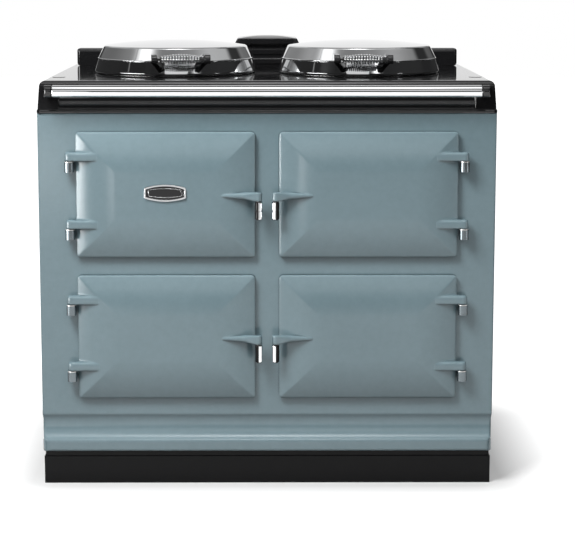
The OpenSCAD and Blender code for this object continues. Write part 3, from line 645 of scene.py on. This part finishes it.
class RANGE_OT_finishes(Operator):
    """Make the finishes and give each CAD node its own"""

    bl_idname = "range_cooker.finishes"
    bl_label = "Finish the castings and metal"

    def execute(self, context):
        settings = context.scene.range_cooker
        metal = settings.metal
        FINISHES.update({
            "enamel": blue_enamel(settings.enamel),
            "black_enamel": black_enamel(settings.enamel),
            "plinth_paint": plinth_paint(),
            "chrome": chrome(metal),
            "grip_chrome": chrome(metal, "grip_chrome", black_beyond=0.0180),
            "bright_steel": brushed_steel("bright_steel", metal.steel, 0.3, (0.04, 1, 1)),
            "knuckle_steel": brushed_steel("knuckle_steel", (0.13, 0.15, 0.16), 0.18, (1, 1, 0.3)),
            "plated_steel": brushed_steel("plated_steel", (0.55, 0.55, 0.54), 0.34, (1, 1, 0.08)),
            "ground_iron": turned_metal("ground_iron", (0.33, 0.325, 0.32)),
            "turned_steel": turned_metal("turned_steel", metal.steel),
            "oven_iron": oven_iron(metal),
            "seal_rope": seal_rope(),
            "knob_black": moulded_black(),
            "badge_black": badge_black(),
            "white_mark": white_mark(),
            "lens_amber": lens_amber(),
        })
        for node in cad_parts.values():
            for slot in node.material_slots:
                slot.material = FINISHES[slot.material.name]
        dress("turned_steel", "hotplate_rings", "left_lid_liner", "right_lid_liner")
        dress("knuckle_steel", "door_hinge_brackets")
        dress("grip_chrome", *(name + "_door_grip" for name in DOORS))
        return {"FINISHED"}


class RANGE_OT_coils(Operator):
    """Wind the smooth wire of the lids' handles over their coarser solids"""

    bl_idname = "range_cooker.coils"
    bl_label = "Wind the handle coils"

    TURN_STEPS = 28
    WIRE_SIDES = 14
    REACH = 0.212  # from a lid's middle to its handle's axis
    RISE = 0.040   # of the handle's axis over the top plate
    LEFT_TURN = 6  # the left lid stands a little turned, in degrees
    # the wire's way out of a post: how far in times its thickness, and its angle round the axis
    LEADS = ((0, -100), (1, -100), (1.45, -92), (1.75, -68), (1.92, -36))

    def centre_line(self, coil):
        """Points of the wire in the handle's own frame, as the solid has them."""
        run = coil.length - 4 * coil.wire
        count = coil.turns * self.TURN_STEPS

        def point(along, share, turn):
            belly = (coil.middle - coil.end) / 2 * math.sin(math.pi * share)
            radius = coil.end / 2 - coil.wire / 2 + belly
            return Vector((along, radius * math.cos(turn), radius * math.sin(turn)))

        start = [point(-coil.length / 2 + coil.wire * inward, 0, math.radians(angle))
                 for inward, angle in self.LEADS]
        middle = [point(-run / 2 + run * (i / count), i / count, 2 * math.pi * i / self.TURN_STEPS)
                  for i in range(count + 1)]
        end = [Vector((-p.x, p.y, -p.z)) for p in reversed(start)]
        return start + middle + end

    def execute(self, context):
        coil = context.scene.range_cooker.coil
        line = self.centre_line(coil)
        for name, side in SIDES.items():
            turn = math.radians(self.LEFT_TURN if side < 0 else 0)
            place = (Matrix.Translation((side * LID_X, LID_Y, TOP_Z))
                     @ Matrix.Rotation(turn, 4, "Z") @ Matrix.Translation((0, -self.REACH, self.RISE)))
            wire = tube([place @ p for p in line], coil.wire / 2, self.WIRE_SIDES)
            piece = new_piece(f"{name}_handle_spring", f"{name}_lid", "chrome", *wire)
            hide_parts(f"{name}_handle_coil")
        return {"FINISHED"}


class RANGE_OT_seals(Operator):
    """Lay the braided rope seals in their grooves"""

    bl_idname = "range_cooker.seals"
    bl_label = "Lay the door seals"

    OUT = 0.0115     # from a liner's edge to the rope's middle
    CORNER = 0.0225  # radius of the rope's corners
    CORNER_STEPS = 12
    STEP = 0.0022    # between two sections on the straights
    ROPE_SIDES = 12
    ROPE = 0.00245   # radius of the rope
    WIDE, DEEP = 1.1, 0.85  # it is pressed a little flat
    STRANDS = 3
    STRAND = 0.0004  # how far a strand stands out
    PITCH = 0.016    # length of a strand's full turn

    def execute(self, context):
        low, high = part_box("door_seals")
        depth = (low.y + high.y) / 2
        ropes = [self.rope(self.centre_line(name, depth)) for name in DOORS]
        piece = new_piece("door_seal_ropes", RANGE, "seal_rope", *joined(ropes))
        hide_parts("door_seals")
        return {"FINISHED"}

    def centre_line(self, door, depth):
        """Points of the rounded rectangle on which a mouth's rope lies."""
        low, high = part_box(door + "_door_liner")
        x0, x1 = low.x - self.OUT + self.CORNER, high.x + self.OUT - self.CORNER
        z0, z1 = low.z - self.OUT + self.CORNER, high.z + self.OUT - self.CORNER
        spots = [(x1, z1, 0), (x0, z1, 90), (x0, z0, 180), (x1, z0, 270)]

        def point(x, z, degrees):
            angle = math.radians(degrees)
            return Vector((x + self.CORNER * math.cos(angle), depth, z + self.CORNER * math.sin(angle)))

        path = []
        for i, (x, z, start) in enumerate(spots):
            path += [point(x, z, start + 90 * k / self.CORNER_STEPS) for k in range(self.CORNER_STEPS + 1)]
            before, after = path[-1].copy(), point(*spots[(i + 1) % 4])
            count = int((after - before).length / self.STEP)
            path += [before.lerp(after, (k + 1) / (count + 1)) for k in range(count)]
        return path

    def rope(self, path):
        """Vertices and faces of a rope of twisted strands along a closed path."""
        out = Vector((0, 1, 0))
        vertices = []
        run = 0.0
        for i, point in enumerate(path):
            after = path[(i + 1) % len(path)]
            across = (after - path[i - 1]).normalized().cross(out).normalized()
            for angle in around(self.ROPE_SIDES):
                twist = self.STRANDS * angle - 2 * math.pi * run / self.PITCH
                radius = self.ROPE + self.STRAND * math.cos(twist)
                sideways = self.WIDE * math.cos(angle) * across
                vertices.append(point + radius * (sideways + self.DEEP * math.sin(angle) * out))
            run += (after - point).length
        return vertices, bands(len(path), self.ROPE_SIDES, closed=True)


class RANGE_OT_badge(Operator):
    """Finish the plain badge with a fine raised line"""

    bl_idname = "range_cooker.badge"
    bl_label = "Finish the badge"

    INSET = 0.0052  # from the badge's edge to the line
    END = 0.0062    # half of the line's height at its straight ends
    LINE = 0.0004   # radius of the line
    POINTS = 96

    def execute(self, context):
        low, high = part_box("badge_face")
        middle = (low + high) / 2
        half_x = (high.x - low.x) / 2 - self.INSET
        half_z = (high.z - low.z) / 2 - self.INSET
        path = []
        for k in range(self.POINTS):
            # from the left end to the right one along the upper edge, and back along the lower
            across = -1 + 4 * k / self.POINTS
            upper = across < 1
            across = across if upper else 2 - across
            rise = self.END + (half_z - self.END) * (1 - across ** 2)
            z = middle.z + (rise if upper else -rise)
            path.append(Vector((middle.x + half_x * across, low.y, z)))
        new_piece("badge_line", "control_door", "chrome", *tube(path, self.LINE, 8, closed=True))
        return {"FINISHED"}


class RANGE_OT_controls(Operator):
    """Put dial marks, pointers, lamps and screws on the control panel"""

    bl_idname = "range_cooker.controls"
    bl_label = "Mark the controls"

    MARKS = 11
    DIAL_START, DIAL_STEP = 225, 27  # the marks' angles, in degrees
    DIAL_GAP = 0.003                 # from a knob's edge to its marks
    SHORT_MARK, LONG_MARK = 0.0035, 0.006
    MARK_HALF, POINTER_HALF = 0.0005, 0.0009  # half widths
    POINTER_FROM, POINTER_LONG = 0.35, 0.5    # as shares of a knob's radius
    PROUD, TAPER = 0.0003, 0.0001    # how far a mark stands out, and draws in
    SCREW_INSET, SCREW = 0.014, 0.004
    LAMP_RISE = 0.034                # of a lamp's middle over its knob
    LAMP_SIDES = 32
    BEZEL = ((0.0062, 0), (0.0062, 0.0010), (0.0056, 0.0016), (0.0047, 0.0016), (0.0047, 0.0004))
    LENS = ((0.0045, 0.0003), (0.0045, 0.0016), (0.0040, 0.0028), (0.0026, 0.0036), (0.0010, 0.0039))

    def execute(self, context):
        low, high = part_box("control_panel")
        marks, bezels, lenses = [], [], []
        for knob in KNOBS:
            first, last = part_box(knob)
            middle = (first + last) / 2
            reach = (last.x - first.x) / 2
            for k in range(self.MARKS):
                angle = math.radians(self.DIAL_START - self.DIAL_STEP * k)
                length = self.LONG_MARK if k % 5 == 0 else self.SHORT_MARK
                start = reach + self.DIAL_GAP
                marks.append(self.mark(middle, low.y, angle, start, length, self.MARK_HALF))
            start, length = reach * self.POINTER_FROM, reach * self.POINTER_LONG
            pointer = self.mark(middle, first.y, math.radians(90), start, length, self.POINTER_HALF)
            new_piece(f"{knob}_pointer", knob, "knob_black", *pointer, finish="white_mark", smooth=False)
            lamp = facing((middle.x, low.y, last.z + self.LAMP_RISE), (0, -1, 0))
            bezels.append(turned(self.BEZEL, self.LAMP_SIDES, lamp))
            lenses.append(turned(self.LENS, self.LAMP_SIDES, lamp))
        new_piece("dial_marks", RANGE, "black_enamel", *joined(marks), finish="white_mark", smooth=False)
        spots = [(x, low.y, z) for x, z in inner_corners(low, high, self.SCREW_INSET)]
        screws("control_panel_screws", RANGE, spots, (0, -1, 0), self.SCREW)
        new_piece("lamp_bezels", RANGE, "chrome", *joined(bezels))
        new_piece("lamp_lenses", RANGE, "knob_black", *joined(lenses), finish="lens_amber")
        return {"FINISHED"}

    def mark(self, middle, face_y, angle, start, length, half):
        """A thin raised bar that points away from a knob's middle."""
        out = Vector((math.cos(angle), 0, math.sin(angle)))
        across = Vector((-math.sin(angle), 0, math.cos(angle)))
        centre = Vector((middle.x, 0, middle.z))
        corners = []
        for y, inset in ((face_y, 0), (face_y - self.PROUD, self.TAPER)):
            for along, side in ((start, -1), (start + length, -1), (start + length, 1), (start, 1)):
                spot = centre + out * along + across * side * (half - inset)
                corners.append(Vector((spot.x, y, spot.z)))
        faces = [(0, 1, 2, 3), (7, 6, 5, 4), (0, 4, 5, 1), (1, 5, 6, 2), (2, 6, 7, 3), (3, 7, 4, 0)]
        return corners, faces


class RANGE_OT_fastenings(Operator):
    """Fasten the back panel, the door liners and the lid arms with screws"""

    bl_idname = "range_cooker.fastenings"
    bl_label = "Add the fastenings"

    BACK_INSET, BACK_SCREW = 0.012, 0.004
    UP, ACROSS = 5, 6  # spaces between the back panel's screws
    LINER_INSET, LINER_SCREW = 0.026, 0.005
    ARM_OUT, ARM_EDGE, ARM_SCREW = 0.011, 0.004, 0.0035

    def execute(self, context):
        self.back_panel()
        for name in DOORS:
            low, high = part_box(name + "_door_liner")
            spots = [(x, high.y, z) for x, z in inner_corners(low, high, self.LINER_INSET)]
            screws(f"{name}_liner_screws", f"{name}_door", spots, (0, 1, 0), self.LINER_SCREW)
        for name in SIDES:
            low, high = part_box(name + "_lid_arm")
            middle = (low.x + high.x) / 2
            spots = [(middle + side * self.ARM_OUT, low.y + self.ARM_EDGE, high.z - self.ARM_EDGE)
                     for side in (-1, 1)]
            screws(f"{name}_arm_screws", f"{name}_lid", spots, (0, 0, 1), self.ARM_SCREW)
        return {"FINISHED"}

    def back_panel(self):
        """Screws all round the back panel's edge."""
        low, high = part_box("back_panel")
        inset = self.BACK_INSET
        spots = []
        for k in range(self.UP + 1):
            z = low.z + inset + (high.z - low.z - 2 * inset) * k / self.UP
            spots += [(low.x + inset, high.y, z), (high.x - inset, high.y, z)]
        for k in range(1, self.ACROSS):
            x = low.x + inset + (high.x - low.x - 2 * inset) * k / self.ACROSS
            spots += [(x, high.y, low.z + inset), (x, high.y, high.z - inset)]
        screws("back_panel_screws", RANGE, spots, (0, 1, 0), self.BACK_SCREW)


class RANGE_OT_stage(Operator):
    """Set the floor, the soft light and the camera"""

    bl_idname = "range_cooker.stage"
    bl_label = "Set the stage"

    FOCAL_PIXELS = 1708.1
    IMAGE_WIDTH = 575
    SENSOR = 36.0
    SHIFT = (0.02, -0.12)
    EYE = (0.0005, -3.9574, 1.1258)
    EYE_DOWN, EYE_RIGHT = 7.885, 0.290  # where it looks, in degrees from straight ahead

    GROUND = (0.46, 0.26)  # half sizes of the ground from which the floor's shadow fades
    FADE_FROM, FADE_OVER = 0.06, 0.17
    NEAR_LIFT, FAR_LIFT = 0.17, 0.92  # light that the floor adds by itself, in the shadow and away from it
    FLOOR_REACH, FLOOR_STEPS = 14.0, 24

    SCREEN_RADIUS, SCREEN_FOOT, SCREEN_TOP = 3.6, 0.02, 5.6
    SCREEN_SWEEP, SCREEN_STEPS = 158, 72  # degrees to each side of the front
    LIT_FROM, LIT_OVER = 2.45, 1.8  # heights of the screen's lit upper part
    LIT_TILT = 0.36  # how much lower it starts for each metre towards the back
    # levels of that part and of the strip at the screen's foot, from below upwards
    UPPER_GLOW = ((0.0, 0.012), (0.10, 0.20), (0.30, 0.34), (0.70, 0.75), (1.0, 0.80))
    FOOT_GLOW = ((0.0, 1.0), (0.34, 1.0), (0.42, 0.0))
    # share of the upper light, round the room from behind, by the left, the front and the right
    GLOW_SHARE = ((0.08, 0.9), (0.17, 0.50), (0.25, 0.60), (0.37, 0.40), (0.47, 0.34), (0.57, 0.42),
                  (0.70, 0.80), (0.77, 0.75), (0.80, 0.03), (0.84, 0.03), (0.87, 0.5))

    # name, middle, width, height, what it looks at, brightness in its middle, softness of its edge
    CARDS = (
        ("soft_glow", (-2.00, -1.30, 3.15), 2.4, 2.0, (0.0, -0.2, 0.9), 2.4, 4.5),
        ("low_glow", (1.20, -2.25, 2.15), 0.85, 0.5, (0.0, -0.2, 0.9), 3.0, 3.5),
        ("light_stand", (-2.15, -0.75, 2.30), 0.09, 1.3, (0.0, -0.2, 0.9), 0.45, 1.0),
        ("left_panel", (-2.15, -1.22, 0.60), 1.6, 1.1, (0.0, -0.60, 0.60), 24.0, 1.0),
        ("right_panel", (1.90, -1.15, 0.62), 0.3, 0.9, (0.0, -0.35, 0.62), 9.0, 1.5),
        ("plate_glow", (-0.92, -3.10, 0.38), 0.5, 0.36, (-0.47, -0.3, 0.7), 6.0, 1.0),
        ("front_card", (0.0, -3.12, 2.05), 1.8, 1.35, (0.0, -0.3, 0.9), 1.0, 0.1),
        ("top_panel", (0.0, -1.70, 4.2), 2.6, 1.3, (0.0, -0.35, 0.5), 12.0, 3.0),
        ("dark_ceiling", (0.0, 1.3, 4.5), 6.0, 4.0, (0.0, 1.3, 0.0), 0.05, 1.2),
        ("left_flag", (-1.32, -0.34, 0.45), 1.6, 0.86, (-1.32, -1.34, 0.45), 0.02, 0.0),
        ("right_flag", (1.32, -0.34, 0.45), 1.6, 0.86, (1.32, -1.34, 0.45), 0.02, 0.0),
    )

    def execute(self, context):
        scene = context.scene
        settings = scene.range_cooker.stage
        scene.view_settings.view_transform = "Standard"
        self.camera(scene)
        self.floor(scene, settings)
        self.room(scene, settings)
        self.dark_screen(scene)
        self.cards(scene)
        self.lamp(scene, "key_light", settings.key_power, size=1.0,
                  place=(-1.00, -1.60, 2.40), target=(-0.1, -0.3, 0.6))
        self.lamp(scene, "fill_light", settings.fill_power, size=2.0,
                  place=(0.6, -3.2, 2.0), target=(0.0, -0.3, 0.5))
        return {"FINISHED"}

    def camera(self, scene):
        lens = bpy.data.cameras.new("camera")
        lens.sensor_fit = "HORIZONTAL"
        lens.sensor_width = self.SENSOR
        lens.lens = self.FOCAL_PIXELS / self.IMAGE_WIDTH * self.SENSOR
        lens.shift_x, lens.shift_y = self.SHIFT
        camera = bpy.data.objects.new("camera", lens)
        camera.location = self.EYE
        camera.rotation_euler = (math.radians(90 - self.EYE_DOWN), 0, math.radians(-self.EYE_RIGHT))
        scene.collection.objects.link(camera)
        scene.camera = camera

    @staticmethod
    def stage_piece(scene, name, vertices, faces, material):
        """Put a mesh of the stage in the scene."""
        mesh = bpy.data.meshes.new(name)
        mesh.from_pydata(vertices, [], faces)
        mesh.materials.append(material)
        piece = bpy.data.objects.new(name, mesh)
        scene.collection.objects.link(piece)
        return piece

    @staticmethod
    def gloss_only(piece):
        """Hide a piece from all but the gloss of other pieces."""
        for rays in ("camera", "diffuse", "shadow", "transmission", "volume_scatter"):
            setattr(piece, "visible_" + rays, False)

    @staticmethod
    def aim(piece, place, target):
        """Put a piece at a place and turn its -z to a target."""
        piece.location = place
        piece.rotation_euler = (Vector(target) - Vector(place)).to_track_quat("-Z", "Y").to_euler()

    def floor(self, scene, settings):
        """A pale floor that is white to the eye away from the cooker and throws little light back."""
        finish = Finish("floor")
        tone = finish.noise(3.0, 2.0, 0.5)
        pale = settings.floor_colour
        seen = finish.seen()
        clean = finish.mixed(tone, pale, scaled(pale, 0.98))
        colour = finish.mixed(seen, scaled(pale, settings.bounce), clean)
        # the shadow fades out a hand's width from the cooker
        beside = (finish.axis("X").absolute() - self.GROUND[0]).at_least(0.0)
        before = (finish.axis("Y").absolute() - self.GROUND[1]).at_least(0.0)
        far = (((beside ** 2 + before ** 2) ** 0.5 - self.FADE_FROM) / self.FADE_OVER).clamped()
        lift = finish.mixed(far, (self.NEAR_LIFT,) * 3, (self.FAR_LIFT,) * 3)
        material = finish.shader({
            "Base Color": colour,
            "Roughness": 0.9,
            "Specular IOR Level": 0.0,
            "Emission Color": finish.mixed(seen, (0, 0, 0), lift),
            "Emission Strength": 1.0,
        })
        steps = self.FLOOR_STEPS
        marks = [self.FLOOR_REACH * (2 * k / steps - 1) for k in range(steps + 1)]
        vertices = [(x, y, 0.0) for x in marks for y in marks]
        corners = [k * (steps + 1) + j for k in range(steps) for j in range(steps)]
        faces = [(a, a + steps + 1, a + steps + 2, a + 1) for a in corners]
        self.stage_piece(scene, "floor", vertices, faces, material)

    def dark_screen(self, scene):
        """A dark curved screen round the front, which only the gloss sees: it gives the chrome its bands."""
        finish = Finish("dark_screen")
        weave = finish.noise(40.0, 2.0, 0.5)
        x, y, z = (finish.axis(letter) for letter in "XYZ")
        upper = (z + y * self.LIT_TILT - self.LIT_FROM) / self.LIT_OVER
        glow = finish.ramp(upper.clamped(), *self.UPPER_GLOW)
        foot = finish.ramp(z, *self.FOOT_GLOW)
        round_room = x.maths("ARCTAN2", x, 0 - y) / (2 * math.pi) + 0.5
        share = finish.ramp(round_room, *self.GLOW_SHARE)
        material = finish.shader({
            "Base Color": finish.mixed(weave, (0.020, 0.020, 0.021), (0.030, 0.030, 0.031)),
            "Roughness": 0.9,
            "Specular IOR Level": 0.0,
            "Emission Color": finish.grey(glow * share + foot * 0.9 + 0.012),
            "Emission Strength": 1.0,
        })
        vertices = []
        for k in range(self.SCREEN_STEPS + 1):
            angle = math.radians(-90 - self.SCREEN_SWEEP + 2 * self.SCREEN_SWEEP * k / self.SCREEN_STEPS)
            x, y = self.SCREEN_RADIUS * math.cos(angle), self.SCREEN_RADIUS * math.sin(angle)
            vertices += [(x, y, self.SCREEN_FOOT), (x, y, self.SCREEN_TOP)]
        faces = [(2 * k, 2 * k + 2, 2 * k + 3, 2 * k + 1) for k in range(self.SCREEN_STEPS)]
        self.gloss_only(self.stage_piece(scene, "dark_screen", vertices, faces, material))

    def cards(self, scene):
        """Cards that only the gloss sees: they give the lids and the grips their lights and darks."""
        for name, middle, width, height, target, glow, softness in self.CARDS:
            finish = Finish(name)
            half_x, half_y = width / 2, height / 2
            spread = (finish.axis("X") / half_x) ** 2 + (finish.axis("Y") / half_y) ** 2
            weave = finish.noise(40.0, 2.0, 0.5)
            bright = finish.principled({
                "Base Color": finish.mixed(weave, (0.015, 0.015, 0.015), (0.020, 0.020, 0.020)),
                "Roughness": 0.9,
                "Specular IOR Level": 0.0,
                "Emission Color": (1.0, 1.0, 1.0),
                "Emission Strength": glow,
            })
            clear = finish.node("ShaderNodeBsdfTransparent")
            material = finish.surfaced(finish.mixed_shaders(math.e ** (spread * -softness), clear, bright))
            signs = ((-1, -1), (1, -1), (1, 1), (-1, 1))
            vertices = [(half_x * across, half_y * up, 0) for across, up in signs]
            card = self.stage_piece(scene, name, vertices, [(0, 1, 2, 3)], material)
            self.aim(card, middle, target)
            self.gloss_only(card)

    @staticmethod
    def room(scene, settings):
        """White to the eye and to the gloss, and a dimmer even light on all else."""
        scene.world = bpy.data.worlds.new("room")
        graph = Graph(scene.world)
        even = graph.node("ShaderNodeBackground", None, {"Color": (settings.sky,) * 3})
        white = graph.node("ShaderNodeBackground", None, {"Color": (1.0, 1.0, 1.0)})
        graph.end("ShaderNodeOutputWorld", graph.mixed_shaders(graph.seen(), even, white))

    def lamp(self, scene, name, power, size, place, target):
        """A square soft light that the gloss doesn't see."""
        light = bpy.data.lights.new(name, "AREA")
        light.shape = "SQUARE"
        light.size = size
        light.energy = power
        lamp = bpy.data.objects.new(name, light)
        lamp.visible_glossy = False
        self.aim(lamp, place, target)
        scene.collection.objects.link(lamp)


PIECES = (RANGE_OT_finishes, RANGE_OT_coils, RANGE_OT_seals, RANGE_OT_badge, RANGE_OT_controls,
          RANGE_OT_fastenings, RANGE_OT_stage)


class RANGE_PT_panel(Panel):
    """Sizes, colours and pieces of the range cooker"""

    bl_idname = "RANGE_PT_panel"
    bl_label = "Range cooker"
    bl_space_type = "VIEW_3D"
    bl_region_type = "UI"
    bl_category = "Cooker"

    def draw(self, context):
        settings = context.scene.range_cooker
        for group in (settings.enamel, settings.metal, settings.coil, settings.stage):
            box = self.layout.box()
            for name in group.__annotations__:
                box.prop(group, name)
        for piece in PIECES:
            self.layout.operator(piece.bl_idname)


CLASSES = (EnamelSettings, MetalSettings, CoilSettings, StageSettings, CookerSettings,
           *PIECES, RANGE_PT_panel)


def register():
    for cls in CLASSES:
        bpy.utils.register_class(cls)
    bpy.types.Scene.range_cooker = PointerProperty(type=CookerSettings)


def unregister():
    del bpy.types.Scene.range_cooker
    for cls in reversed(CLASSES):
        bpy.utils.unregister_class(cls)


def main():
    register()
    bpy.ops.range_cooker.finishes()
    bpy.ops.range_cooker.coils()
    bpy.ops.range_cooker.seals()
    bpy.ops.range_cooker.badge()
    bpy.ops.range_cooker.controls()
    bpy.ops.range_cooker.fastenings()
    bpy.ops.range_cooker.stage()


if __name__ == "__main__":
    main()
